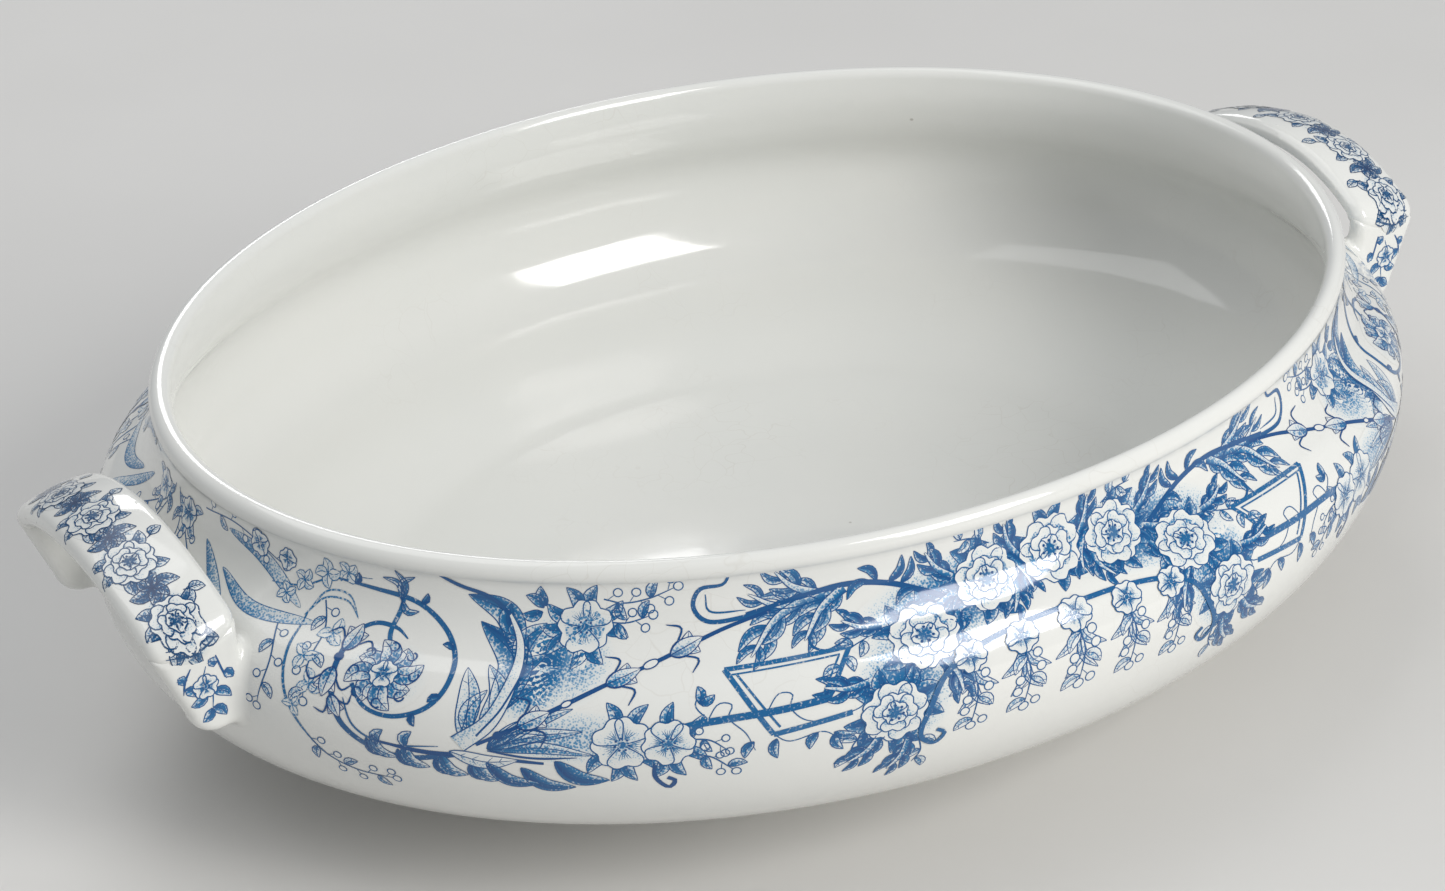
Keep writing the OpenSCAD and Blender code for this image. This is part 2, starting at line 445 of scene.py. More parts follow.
def handle_meshes(material):
    """Both straps and the four pads, the far ones mirrored from one of each."""
    made = {}
    reach = PAD_MIDDLE + STRAP_HALF_THICKNESS
    low = from_handle(np.array(-11.0), np.array(-reach - 3), np.array(END_Z - 6))
    high = from_handle(np.array(11.0), np.array(reach + 3), np.array(2.0))
    lowest, highest = np.minimum(low, high), np.maximum(low, high)
    strap = isosurface(strap_field, lowest - [5, 0, 4], highest + [1, 0, 3], HANDLE_CELL)
    pad_low = from_handle(np.array(-16.0), np.array(PAD_MIDDLE - 10), np.array(TIP_CENTRE - PAD_TIP - 9))
    pad_high = from_handle(np.array(14.0), np.array(PAD_MIDDLE + 11), np.array(END_Z + 9))
    lowest, highest = np.minimum(pad_low, pad_high), np.maximum(pad_low, pad_high)
    pad = isosurface(pad_field, lowest - [6, 0, 4], highest + [4, 0, 4], HANDLE_CELL)
    for side in ("left", "right"):
        name = side + "_strap"
        made[name] = make_object(name + "_skin", *mirrored(*strap, side == "left", False), material)
        for end in ("front", "back"):
            name = side + "_" + end + "_pad"
            mesh = mirrored(*pad, side == "left", end == "front")
            made[name] = make_object(name + "_skin", *mesh, material)
    return made


# ---------------------------------------------------------------- the transfer print
# Shapes are drawn flat, as complex numbers: real = along the surface, imaginary = down it. Each shape
# becomes a thin sheet of ink a few hundredths of a millimetre above the glaze; a higher level covers a
# lower one. An ink's tone runs from 0, bare glaze, to 1, the darkest line. The motifs' places
# follow the print in the photo: they were read as millimetres from the middle and below the top.
LEVEL_LIFT = 0.006
STEP = 0.75
LINE = 0.31


def direction(path):
    """Unit headings along a path."""
    slope = np.gradient(path)
    return slope / np.maximum(np.abs(slope), 1e-9)


def divided(path, step=STEP):
    """The same path with its points evenly spaced."""
    length = np.r_[0, np.cumsum(np.abs(np.diff(path)))]
    count = max(3, int(length[-1] / step) + 2)
    even = np.linspace(0, length[-1], count)
    return np.interp(even, length, path.real) + 1j * np.interp(even, length, path.imag)


def curve(*points):
    """A smooth path through the points."""
    points = np.array(points, complex)
    if len(points) == 2:
        return divided(np.linspace(points[0], points[1], 9))
    before, after = 2 * points[0] - points[1], 2 * points[-1] - points[-2]
    padded = np.r_[before, points, after]
    t = np.linspace(0, 1, 12, endpoint=False)
    runs = []
    for a, b, c, d in zip(padded, padded[1:], padded[2:], padded[3:]):
        square = (a - 2.5 * b + 2 * c - d / 2) * t**2
        cube = (1.5 * (b - c) + (d - a) / 2) * t**3
        runs.append(b + (c - a) / 2 * t + square + cube)
    return divided(np.r_[np.concatenate(runs), points[-1]])


def turning(degrees):
    """Heading as a complex number; 0 points along, 90 points down."""
    return np.exp(1j * math.radians(degrees))


class Print:
    """Gathers ink shapes and lays them on a surface given by on_surface(along, down, lift)."""

    def __init__(self):
        self.points, self.levels, self.tones, self.faces = [], [], [], []
        self.count = 0
        self.origin, self.flip = 0j, 1

    def sheet(self, points, tone, level):
        """A grid of points, with one tone or a grid of tones."""
        rows, columns = points.shape
        placed = self.origin + self.flip * points.real + 1j * points.imag
        index = np.arange(rows * columns).reshape(rows, columns) + self.count
        self.faces.append(
            np.stack([index[:-1, :-1], index[1:, :-1], index[1:, 1:], index[:-1, 1:]], -1).reshape(-1, 4)
        )
        self.points.append(placed.ravel())
        self.levels.append(np.full(points.size, float(level)))
        self.tones.append(np.broadcast_to(np.asarray(tone, float), points.shape).ravel())
        self.count += points.size

    def stroke(self, path, width=LINE, tone=0.95, level=4, ends=(0.5, 0.3)):
        """A line that swells in the middle; ends are the widths left at its start and finish."""
        share = np.linspace(0, 1, len(path))
        half = width / 2 * np.interp(share, [0, 0.25, 0.7, 1], [ends[0], 1, 1, ends[1]])
        side = 1j * direction(path) * half
        self.sheet(np.stack([path - side, path + side], -1), tone, level)

    def dot(self, centre, radius, tone=0.9, level=5):
        """A small round blot of one tone."""
        ring = np.exp(1j * np.linspace(0, 2 * math.pi, 13))
        reach = np.array([0.02, 0.62, 1.0])[:, None] * radius
        self.sheet(centre + reach * ring, tone, level)

    def berry(self, centre, radius, level=5):
        """A pale berry with an outline and a shaded side."""
        ring = np.exp(1j * np.linspace(0, 2 * math.pi, 17))
        shade = 0.18 + 0.3 * np.clip(ring.imag + ring.real, 0, None)
        self.sheet(
            centre + np.array([0.02, 0.6, 1.0])[:, None] * radius * ring,
            np.array([0.0, 0.05, 1.0])[:, None] * shade, level,
        )
        self.stroke(centre + radius * ring, LINE * 0.8, 0.85, level + 1, (1, 1))

    def leaf(self, base, tip, width, bend=0.12, tone=(0.75, 0.3), level=1, veins=3, edge=0.9):
        """A pointed leaf, darker at its base and on one half, with a midrib, veins and an edge line."""
        middle = (base + tip) / 2 + 1j * (tip - base) * bend
        spine = curve(base, middle, tip)
        side = 1j * direction(spine)
        share = np.linspace(0, 1, len(spine))
        half = width / 2 * np.sin(math.pi * share**0.85) ** 0.85 + 0.02
        across = np.linspace(-1, 1, 5)
        shade = tone[0] + (tone[1] - tone[0]) * share[:, None] + 0.14 * np.sign(across)
        shade = shade * (1 - 0.35 * (np.abs(across) > 0.9))
        self.sheet(
            spine[:, None] + side[:, None] * half[:, None] * across, np.clip(shade, 0.04, 1), level
        )
        for hand in (-1, 1):
            self.stroke(spine + hand * side * half, LINE * 0.75, edge, level + 1, (1, 0.6))
        self.stroke(spine, LINE * 0.7, edge, level + 1, (1, 0.3))
        for k in range(veins):
            at = int((0.2 + 0.55 * k / max(veins - 1, 1)) * (len(spine) - 1))
            for hand in (-1, 1):
                end = spine[at] + (0.75 * hand * side[at] + 0.7 * side[at] / 1j) * half[at]
                self.stroke(np.linspace(spine[at], end, 3), LINE * 0.5, edge * 0.9, level + 1)

    def petal(self, base, heading, length, width, level, shade=0.5, notch=0.16):
        """A petal with a notched round end, fine lines at its base and an outline."""
        share = np.linspace(0, 1, 8)[:, None]
        across = np.linspace(-1, 1, 9)[None, :]
        spread = width / 2 * (0.2 + 0.8 * np.sin(math.pi / 2 * np.minimum(1, share * 1.25)))
        reach = length * share * (
            1 - 0.3 * across**4 * share - notch * np.exp(-((across / 0.3) ** 2)) * share**4
        )
        points = base + heading * (reach + 1j * spread * across)
        tone = shade * (1 - share) ** 1.15 + 0.2 * np.abs(across) ** 4 * share
        self.sheet(points, tone, level)
        outline = np.r_[points[:, 0], points[-1, 1:-1], points[::-1, -1]]
        self.stroke(divided(outline, 0.6), LINE * 0.85, 0.85, level + 1, (1, 1))
        for lean in (-0.8, -0.4, 0.0, 0.4, 0.8):
            start, end = base + 0.12 * length * heading, base + heading * length * (
                0.56 + 1j * 0.3 * lean
            )
            self.stroke(np.linspace(start, end, 4), LINE * 0.5, 0.7, level + 1, (1, 0.2))

    def flower(self, centre, radius, petals=5, turn=0.0, level=8, double=False, shade=0.5):
        """An open flower: a ring of overlapping petals, a second ring if double, and a dotted middle."""
        rings = [(1.0, petals, turn, level)]
        if double:
            rings.append((0.66, petals - 1, turn + 25, level + 6))
            rings.append((0.38, petals - 2, turn - 10, level + 12))
        self.dot(centre, radius * 0.75, 0.5, level)
        for size, number, start, base_level in rings:
            for k in range(number):
                heading = turning(start + 360 * k / number)
                above = 2 * (k % 2) + (2 if k == number - 1 and number % 2 else 0)
                width = (2.35 if double else 2.08) * radius * size * math.sin(math.pi / number)
                root = centre + 0.1 * radius * size * heading
                self.petal(root, heading, radius * size * 0.92, width, base_level + above, shade)
        top = rings[-1][3] + 7
        self.dot(centre, radius * 0.13, 0.75, top)
        for k in range(7):
            self.dot(centre + radius * 0.24 * turning(turn + 51 * k), radius * 0.045, 0.95, top)

    def leaves_round(self, centre, radius, headings, length=4.5, width=2.6, tone=(0.95, 0.55), level=2):
        """Leaves that stick out from behind a flower."""
        for k, heading in enumerate(headings):
            out = turning(heading)
            bend = 0.14 if k % 2 else -0.14
            self.leaf(
                centre + 0.55 * radius * out, centre + (radius + length) * out, width, bend, tone,
                level + k % 2 * 2,
            )

    def sprig(self, path, size, number, level=3, tone=(0.6, 0.3), fruit=True):
        """A thin twig with leaves and berries set alternately along it."""
        self.stroke(path, LINE, 0.85, level, (1, 0.5))
        heads = direction(path)
        for k in range(number):
            at = int((k + 0.6) / number * (len(path) - 1))
            hand = 1 if k % 2 else -1
            out = heads[at] * turning(52 * hand)
            if fruit and k % 3 != 1:
                self.stroke(np.linspace(path[at], path[at] + size * out, 3), LINE * 0.6, 0.8, level)
                self.berry(path[at] + size * 1.25 * out, size * 0.42, level + 1)
            else:
                self.leaf(
                    path[at], path[at] + size * 1.9 * out, size * 0.95, 0.15 * hand, tone, level + 1, 2
                )
        if fruit:
            self.berry(path[-1] + size * 0.4 * heads[-1], size * 0.45, level + 1)

    def acanthus(self, path, width, number, tone=(0.8, 0.35), level=2, hands=(1, -1), rib=1.0):
        """A carved leaf: pointed lobes that leave a swelling rib and bend towards its tip."""
        heads = direction(path)
        reach = len(path) - 1
        for k in range(number):
            share = (k + 0.35) / number
            at, ahead = int(share * reach), min(reach, int((share + 0.24) * reach))
            size = width * (0.45 + 0.75 * math.sin(math.pi * min(1, share * 0.85 + 0.1)))
            for hand in hands:
                tip = path[ahead] + heads[at] * turning(38 * hand) * size * 0.75
                self.leaf(path[at], tip, size * 0.42, 0.16 * hand, tone, level + k % 2 * 2, 2)
        share = np.linspace(0, 1, len(path))[:, None]
        across = np.linspace(-1, 1, 5)[None, :]
        half = rib * (1 - share) ** 0.7 * 0.8 + 0.12
        points = path[:, None] + 1j * heads[:, None] * half * across
        self.sheet(
            points, np.clip(tone[0] * (1 - 0.7 * share) * (0.75 - 0.35 * across), 0.05, 1), level + 5
        )
        for hand in (-1, 1):
            self.stroke(path + hand * 1j * heads * half[:, 0], LINE * 0.8, 0.9, level + 6, (1, 0.4))

    def tulip(self, base, heading, size, level=7):
        """A bud of three pointed petals that opens along its heading."""
        for lean, long in ((-26, 1.0), (26, 1.0), (0, 1.2)):
            tip = base + size * long * turning(heading + lean)
            self.leaf(
                base, tip, size * 0.6, -0.24 * np.sign(lean), (0.7, 0.15), level + (lean == 0) * 2, 0, 1.0
            )
        for hand in (-1, 1):
            root = base + 0.5 * size * turning(heading + 35 * hand)
            path = curve(
                root, root + 0.5 * size * turning(heading + 50 * hand),
                root + 0.75 * size * turning(heading + 95 * hand),
            )
            self.stroke(path, LINE * 1.3, 0.95, level + 3, (1, 0.4))

    def bead(self, centre, heading, size, level=8):
        """An oval bead on a stem."""
        ring = np.exp(1j * np.linspace(0, 2 * math.pi, 17))
        shape = (ring.real * size + 0.6j * ring.imag * size) * turning(heading)
        self.sheet(centre + np.array([0.02, 1.0])[:, None] * shape, 0.02, level)
        self.stroke(centre + shape, LINE, 0.95, level + 1, (1, 1))

    def wash(self, centre, radii, tone, level=0, turn=0.0):
        """A dotted ground that fades out towards its edge."""
        angle = np.linspace(0, 2 * math.pi, 41)
        share = np.linspace(0.02, 1, 10)[:, None]
        shape = (radii[0] * np.cos(angle) + 1j * radii[1] * np.sin(angle)) * turning(turn)
        self.sheet(centre + share * shape, tone * (1 - share**2) + 0 * angle, level)

    def make(self, name, on_surface, material):
        """The finished sheet as one object, its normals those of the surface below."""
        flat = np.concatenate(self.points)
        lift = INK_LIFT + LEVEL_LIFT * np.concatenate(self.levels)
        points, normals = on_surface(flat.real, flat.imag, lift)
        faces = np.concatenate(self.faces)
        corners = points[faces]
        facing = np.cross(corners[:, 2] - corners[:, 0], corners[:, 3] - corners[:, 1])
        inward = (facing * normals[faces[:, 0]]).sum(1) < 0
        faces[inward] = faces[inward][:, ::-1]
        piece = make_object(name, points, faces, material)
        attribute = piece.data.attributes.new("tone", "FLOAT", "POINT")
        attribute.data.foreach_set("value", np.concatenate(self.tones))
        piece.data.normals_split_custom_set_from_vertices(normals.tolist())
        return piece


# ---------------------------------------------------------------- the motifs, for the left half
PRINT_TOP = -0.6
PRINT_SQUEEZE = 0.935


def scroll(p):
    """The big volute at the far end of the print, with its rosette, buds and the bells beside it."""
    p.stroke(
        curve(
            -152, -142 + 0.3j, -132 + 1.5j, -125 + 6j, -121.3 + 12j, -121 + 18j, -124 + 22.6j, -130 + 25j,
            -135.5 + 24j, -139 + 20j,
        ),
        1.0, 0.8, 6, (0.4, 0.8),
    )
    p.stroke(
        curve(
            -143.6 + 13j, -143.4 + 18j, -142.3 + 23j, -139.5 + 28.5j, -134 + 32.3j, -127 + 33.5j,
            -118 + 31.5j,
        ),
        1.15, 0.85, 6, (1, 1),
    )
    p.stroke(curve(-143.6 + 13j, -143 + 9.5j, -139.5 + 7j, -135 + 7.2j, -132 + 9j), 0.9, 0.8, 6, (1, 0.3))
    p.stroke(curve(-140 + 23j, -137 + 28.6j, -131 + 31j, -121 + 30j), 0.45, 0.8, 6)
    p.dot(-143.6 + 15.4j, 1.0, 0.95, 8)
    for place, heading, size in (
        (-143.4 + 14j, -78, 5.4), (-143.6 + 17.6j, 96, 5.2), (-142.6 + 23j, 60, 4.0)
    ):
        p.tulip(place, heading, size, 9)
    for place, out in (
        (-131 + 1.7j, -60), (-122.3 + 10j, 200), (-121.5 + 20j, 150), (-126 + 23.8j, 80),
        (-146 + 0.2j, -70),
    ):
        p.leaf(place, place + 2.6 * turning(out), 1.3, 0.2, (0.95, 0.7), 8, 0)
    rosette(p, -133.6 + 17j, 7.6)
    p.stroke(curve(-134.5 + 12j, -136 + 8j, -135 + 3j, -134.6 - 1.5j), 1.0, 0.75, 7, (0.8, 0.5))
    for tip, bend in (
        (-139.6 - 2.4j, 0.3), (-136.8 - 4.4j, 0.22), (-132.4 - 3.6j, -0.3), (-131.2 + 3.4j, 0.3)
    ):
        p.leaf(-135.2 + 1.8j, tip, 1.25, bend, (0.8, 0.35), 9, 1)
    p.stroke(
        curve(-155 + 8j, -154.6 + 16j, -152 + 25j, -147 + 33j, -143.5 + 37j), 0.6, 0.7, 4, (0.6, 0.4)
    )
    p.sprig(curve(-147 + 33j, -143.5 + 37j, -138 + 39.5j, -131 + 40j), 1.8, 9, 5, (0.6, 0.35))
    p.sprig(curve(-152 + 5j, -149.5 + 11j, -149 + 18j, -148 + 25j), 2.0, 8, 3, (0.45, 0.2))
    for place, size, turn in (
        (-147.4 + 11j, 2.7, 40), (-150.6 + 17j, 2.5, 100), (-147.4 + 22j, 2.6, 10), (-150 + 27j, 1.9, 60)
    ):
        for k in range(3):
            p.leaf(
                place, place + size * 1.25 * turning(turn + 118 * k), size * 0.85, 0.1, (0.3, 0.08), 5, 0,
                0.6,
            )
    for place, size, turn in (
        (-158 + 2.4j, 2.6, 20), (-152.6 - 0.4j, 3.2, 75), (-147.6 - 1.6j, 2.7, 130),
        (-161.6 + 6j, 2.4, 50),
    ):
        for k in range(4):
            p.leaf(
                place, place + size * turning(turn + 90 * k), size * 0.75, 0.14, (0.35, 0.1),
                5 + k % 2 * 2, 0, 0.7,
            )
    p.stroke(curve(-166 + 5j, -158 + 3.5j, -150 - 0.5j, -142 - 1.5j), 0.4, 0.7, 4)
    for rise in (0, 1.3):
        p.stroke(
            curve(-155.4 + 9j, -152.4 + (3.4 + rise) * 1j, -147 + (2.8 + rise) * 1j, -143.6 + 7j), 0.4,
            0.6, 4,
        )


def rosette(p, centre, radius):
    """A carved boss: curled leaves about a dotted middle."""
    p.wash(centre, (radius * 1.2, radius), 0.35, 0)
    for k in range(8):
        out = turning(22 + 45 * k)
        reach = radius * (1.0 if k % 2 else 0.86)
        p.leaf(
            centre + 0.2 * radius * out, centre + reach * out, 3.9, 0.24, (0.75, 0.2), 8 + k % 2 * 2, 2,
            1.0,
        )
        ring = centre + 0.78 * radius * out * turning(20)
        p.stroke(
            ring + 0.9 * turning(45 * k) * np.exp(1j * np.linspace(0, 5, 12)), LINE * 1.2, 0.95, 13,
            (1, 0.4),
        )
    p.flower(centre, radius * 0.36, 5, 10, 14)


def tall_acanthus(p):
    """The great carved leaf between volute and flowers, with curled lobes and a dark ground."""
    p.wash(-104.5 + 13j, (8, 12), 0.85, 0, 12)
    for base, tip, width, bend, tone in (
        (-111.2 + 23.5j, -118.2 + 3.8j, 6.4, 0.26, (0.55, 0.85)),
        (-109.6 + 10j, -121.2 - 1.4j, 5.0, 0.2, (0.5, 0.8)),
        (-113.4 + 25j, -114.4 + 12.4j, 3.6, 0.24, (0.65, 0.25)),
        (-116.8 + 27.6j, -118.2 + 13.4j, 4.2, 0.1, (0.7, 0.15)),
        (-115.6 + 27j, -113.2 + 17.8j, 3.0, -0.16, (0.65, 0.25)),
        (-108.8 + 18j, -104.2 + 9.6j, 3.6, -0.18, (0.9, 0.6)),
        (-109.4 + 12j, -105 + 3.4j, 3.6, -0.2, (0.85, 0.5)),
        (-110.5 + 22j, -104.4 + 16.6j, 3.2, -0.16, (0.9, 0.6)),
    ):
        p.leaf(base, tip, width, bend, tone, 3, 2)
    p.acanthus(
        curve(-117.4 + 29j, -111.7 + 23.8j, -109.2 + 16.2j, -109.6 + 7.9j, -113 + 1j), 0, 0, (0.42, 0.2),
        6, rib=2.1,
    )
    p.stroke(curve(-112.4 + 2j, -117 - 1.4j, -123 - 3.2j, -129.5 - 6j), 0.8, 0.9, 12, (1, 0.3))
    p.stroke(curve(-114 + 27j, -109.8 + 21j, -107.6 + 13j, -108.4 + 6j), 0.4, 0.9, 13, (1, 0.3))
    for tip, size in ((-112.5 - 0.6j, 3.0), (-110.8 + 3.4j, 2.6)):
        p.leaf(-110.6 + 6j, tip, size, -0.25, (0.95, 0.7), 8, 0)
    p.stroke(curve(-133 + 30.6j, -124 + 31.6j, -114 + 31.4j, -102 + 32.4j), 1.0, 0.95, 8, (0.4, 0.6))
    p.leaf(-119 + 30.8j, -106.5 + 31.8j, 3.2, 0.1, (0.3, 0.08), 9, 4)
    for tip, size in (
        (-129 + 33.8j, 2.0), (-123 + 35.2j, 2.3), (-116 + 36.2j, 2.5), (-109.6 + 36.8j, 2.7)
    ):
        p.leaf(tip - 4.6 - 4.4j, tip, size * 1.15, 0.26, (0.85, 0.3), 7, 3)
        p.leaf(tip - 5.8 - 3.4j, tip - 2.6 + 0.2j, size * 0.7, 0.26, (0.95, 0.7), 6, 1)
    for tip in (-126 + 27.5j, -131.5 + 28j):
        p.leaf(tip - 1.4 + 3.6j, tip, 1.9, -0.25, (0.8, 0.45), 7, 1)


def upper_flower(p):
    """The flower by the rim with its leaves, and the twig of buds to its right."""
    p.wash(-99 + 12j, (8.5, 9.5), 0.55, 0)
    flower, radius = -97.5 + 4j, 5.3
    p.leaves_round(flower, radius, (-150, -115, -75, -35, 15, 60, 100, 140, 180), 3.6, 2.7, (0.9, 0.5), 2)
    p.flower(flower, radius, 5, 20, 9)
    p.sprig(curve(-94 - 1.5j, -90 - 0.6j, -85 - 1.4j, -80 - 3.4j), 2.1, 7, 4, (0.8, 0.4))
    p.sprig(curve(-94 + 3j, -89.5 + 3.4j, -85 + 2.2j), 2.0, 5, 4, (0.8, 0.4))
    p.leaves_round(-105 + 1j, 2.0, (170, 215, 255), 3.4, 2.2, (0.85, 0.5), 3)


def bud_stem(p):
    """The straight stem that climbs from the acanthus to the scrolled leaf, with buds and a bead."""
    stem = curve(-114 + 28.8j, -100 + 21j, -85 + 12.6j, -72 + 6.4j, -61 + 3.2j)
    p.stroke(stem, 0.95, 0.95, 10, (0.7, 0.7))
    for share, size in ((0.17, 5.4), (0.46, 5.8), (0.68, 5.8)):
        at = int(share * (len(stem) - 1))
        p.tulip(stem[at] - 1.4 * turning(-29), -29, size, 12)
    p.bead(stem[int(0.58 * len(stem))], -29, 1.5, 13)
    p.bead(stem[int(0.3 * len(stem))], -29, 1.0, 13)
    p.dot(stem[int(0.08 * len(stem))], 0.9, 0.95, 13)


def lower_flowers(p):
    """Two flowers low on the belly, dark leaves on their left and buds on their right."""
    p.wash(-97 + 27j, (13, 6), 0.5, 0)
    for tip, width in (
        (-102 + 22.5j, 2.6), (-97 + 21j, 2.8), (-95 + 25.5j, 2.6), (-101 + 26.5j, 2.4),
        (-93 + 30.5j, 2.4), (-106 + 25j, 2.2),
    ):
        p.leaf(-112 + 29.6j, tip, width, -0.06, (0.7, 0.35), 3, 4)
    for tip, width in ((-103 + 37.6j, 3.0), (-96.8 + 38.4j, 3.3), (-90.6 + 36.6j, 3.6)):
        p.leaf(tip - 9.4 - 4.8j, tip, width, 0.18, (0.95, 0.65), 9, 3)
    p.stroke(curve(-112 + 30j, -104 + 31.2j, -96 + 31j), 0.5, 0.95, 9)
    for place, radius, turn in ((-88 + 28.3j, 5.4, 10), (-79.8 + 28.6j, 4.7, 50)):
        p.leaves_round(
            place, radius, (45, 75, 105, 135, -60, -110) if turn == 10 else (35, 70, 110, -40, -85), 3.6,
            2.4, (0.85, 0.5), 2,
        )
        p.flower(place, radius, 5, turn, 9 if turn == 10 else 15)
    p.stroke(
        curve(-82.5 + 33j, -82.4 + 36.5j, -80.3 + 39.3j, -79 + 37.6j, -80.3 + 36.6j), 0.9, 0.95, 6,
        (0.5, 1),
    )
    p.sprig(curve(-76 + 31j, -72 + 32.6j, -68.5 + 36j), 1.9, 5, 4, (0.7, 0.4))
    p.sprig(curve(-76.5 + 28j, -72.5 + 28.6j, -69.5 + 31j), 1.7, 4, 4, (0.7, 0.4))


def scrolled_leaf(p):
    """The acanthus branch under the rim, which curls back at its left end."""
    p.stroke(
        curve(-69 - 5.6j, -70.5 - 3.2j, -75 - 2.6j, -76.4 + 1j, -73.5 + 4.1j, -67 + 4j, -59 + 2.4j), 0.9,
        0.85, 6, (0.6, 1),
    )
    p.stroke(curve(-74 - 1.4j, -73 + 2.2j, -66 + 2.6j), 0.4, 0.8, 6)
    branch = curve(-66 + 3.4j, -56 + 1.6j, -46 + 0.4j, -37 + 1.8j, -29 + 5.2j, -24 + 8j)
    p.stroke(branch, 1.15, 0.9, 8, (0.6, 1))
    for path, width, number in (
        (curve(-54 + 2j, -60.5 + 5.5j, -65 + 12.5j), 4.6, 4),
        (curve(-46 + 1j, -51 + 4.5j, -54.5 + 10.5j), 4.4, 4),
        (curve(-51 + 1.5j, -56.5 - 1j, -60 - 4.6j), 4.2, 3),
        (curve(-50 + 1.5j, -59 + 2.6j, -65.5 - 0.5j), 3.2, 3),
    ):
        p.acanthus(path, width, number, (0.85, 0.45), 3, rib=1.1)
    for base, tip in (
        (-41 + 0.4j, -45.5 + 3.6j), (-34 + 2.4j, -31.5 - 2.6j), (-36.5 + 1.6j, -33.5 - 3.4j),
        (-39 + 0.8j, -43 - 2.4j), (-31 + 4j, -35.5 + 6.6j),
    ):
        p.leaf(base, tip, 1.7, 0.2, (0.95, 0.6), 9, 1)
    p.stroke(curve(-52 + 7j, -53.6 + 11j, -50.5 + 13.4j, -46 + 11.4j, -44 + 9.6j), 0.55, 0.85, 6)


def ribbon_frame(p):
    """A folded ribbon drawn as double lines, with a stem run through it and curling tendrils."""
    for start, end, width in (
        (-70 + 14.6j, -46 + 13.4j, 1.1), (-69 + 15.9j, -48 + 14.8j, 0.4),
        (-70 + 14.6j, -61 + 29j, 1.0), (-67.6 + 16j, -59.8 + 27.6j, 0.45),
        (-46 + 13.4j, -51 + 24j, 1.0), (-48.2 + 15j, -52.2 + 23.4j, 0.4),
        (-61 + 29j, -46.5 + 27j, 1.15),
    ):
        p.stroke(curve(start, end), width, 0.75, 7, (1, 1))
    p.stroke(curve(-80 + 27j, -77 + 25.4j, -70 + 24.7j, -60 + 24.2j, -51 + 23.4j), 1.5, 0.78, 9, (0.7, 1))
    for path in (
        curve(-73 + 25j, -71 + 21.6j, -68.4 + 22j, -69 + 24.6j, -66 + 28j, -64.4 + 32j),
        curve(-62 + 24j, -60 + 21j, -57.4 + 21.4j, -57.8 + 24j, -55.4 + 26.8j, -51.5 + 28j),
        curve(-72 + 25j, -75 + 21.6j, -74 + 18.6j), curve(-61 + 29j, -58 + 31j, -52 + 30j, -48.6 + 33j),
        curve(-48 + 27.2j, -44.5 + 26j, -43.4 + 22.8j),
    ):
        p.stroke(path, LINE * 0.8, 0.8, 5, (0.8, 0.5))
    for base, tip in (
        (-74.4 + 21j, -74.8 + 17.6j), (-74.4 + 21j, -71.6 + 19.6j), (-64.6 + 30j, -66.4 + 33.6j),
        (-60.5 + 30j, -60.5 + 34.6j), (-53 + 30j, -54.6 + 33.6j), (-50 + 31j, -48.4 + 35j),
        (-50 + 30.6j, -45.8 + 31.6j),
    ):
        p.leaf(base, tip, 1.8, 0.15, (0.85, 0.45), 6, 1)


def garland_half(p):
    """Half of the garland: three great flowers falling away from the middle, with dark leaves behind."""
    p.wash(-22 + 8j, (25, 10), 0.8, 0, -10)
    p.wash(-36 + 24j, (10, 14), 0.75, 0)
    blooms = ((-15.6 + 6.0j, 7.0, 25, 12), (-31 + 14.4j, 7.2, 70, 12), (-38.5 + 29j, 6.4, 15, 12))
    for centre, radius, turn, level in blooms:
        p.leaves_round(centre, radius, range(int(turn), int(turn) + 360, 40), 3.4, 3.2, (1.0, 0.65), 2)
        p.flower(centre, radius, 7, turn, level, double=True, shade=0.8)
    for base, heading in (
        (-8.5 + 2j, -120), (-8 + 5j, 60), (-9.5 + 9j, 100), (-24.5 + 2.5j, -140), (-24 + 13j, 120),
        (-25.5 + 8j, 160), (-41 + 10j, 190), (-36.5 + 38j, 110), (-42.5 + 35j, 130), (-45 + 22j, 175),
        (-27 + 22j, 60),
    ):
        out = turning(heading)
        p.acanthus(
            curve(base - 2 * out, base + 2.2 * out, base + 6.5 * out * turning(12)), 3.6, 3, (1.0, 0.6),
            6, rib=0.9,
        )
    for path, number in (
        (curve(-14 - 1j, -18 - 3j, -22 - 3.4j), 4), (curve(-42 + 12j, -46.5 + 14.5j, -48.5 + 19j), 4),
        (curve(-43 + 31j, -46.5 + 34.5j, -47 + 39j), 4), (curve(-34 + 36j, -33.4 + 40j, -35 + 43j), 3),
    ):
        p.sprig(path, 2.0, number, 4, (0.55, 0.3), fruit=False)
    p.stroke(
        curve(
            17.3j, -11 + 17.8j, -21 + 19.8j, -28 + 23.4j, -31.4 + 29j, -33.6 + 35.4j, -31 + 38.6j,
            -28.8 + 36.6j, -30.4 + 35.2j,
        ),
        1.15, 0.8, 26, (1, 0.7),
    )


def hanging_spray(p, top, size):
    """A small flower with a drooping twig of leaves and berries below it."""
    p.sprig(curve(top + 2j, top + 0.8 + 8j, top - 0.4 + 14.5j), 2.0 * size, 8, 4, (0.45, 0.2))
    for lean in (-1, 1):
        p.leaf(top + 2j, top + lean * 4.6 * size + 6.4j * size, 2.0, 0.16 * lean, (0.5, 0.2), 3, 3)
        p.leaf(top + 4j, top + lean * 3.0 * size + 10.5j * size, 1.8, 0.16 * lean, (0.4, 0.15), 3, 3)
    p.flower(top, 3.0 * size, 5, -90, 27)


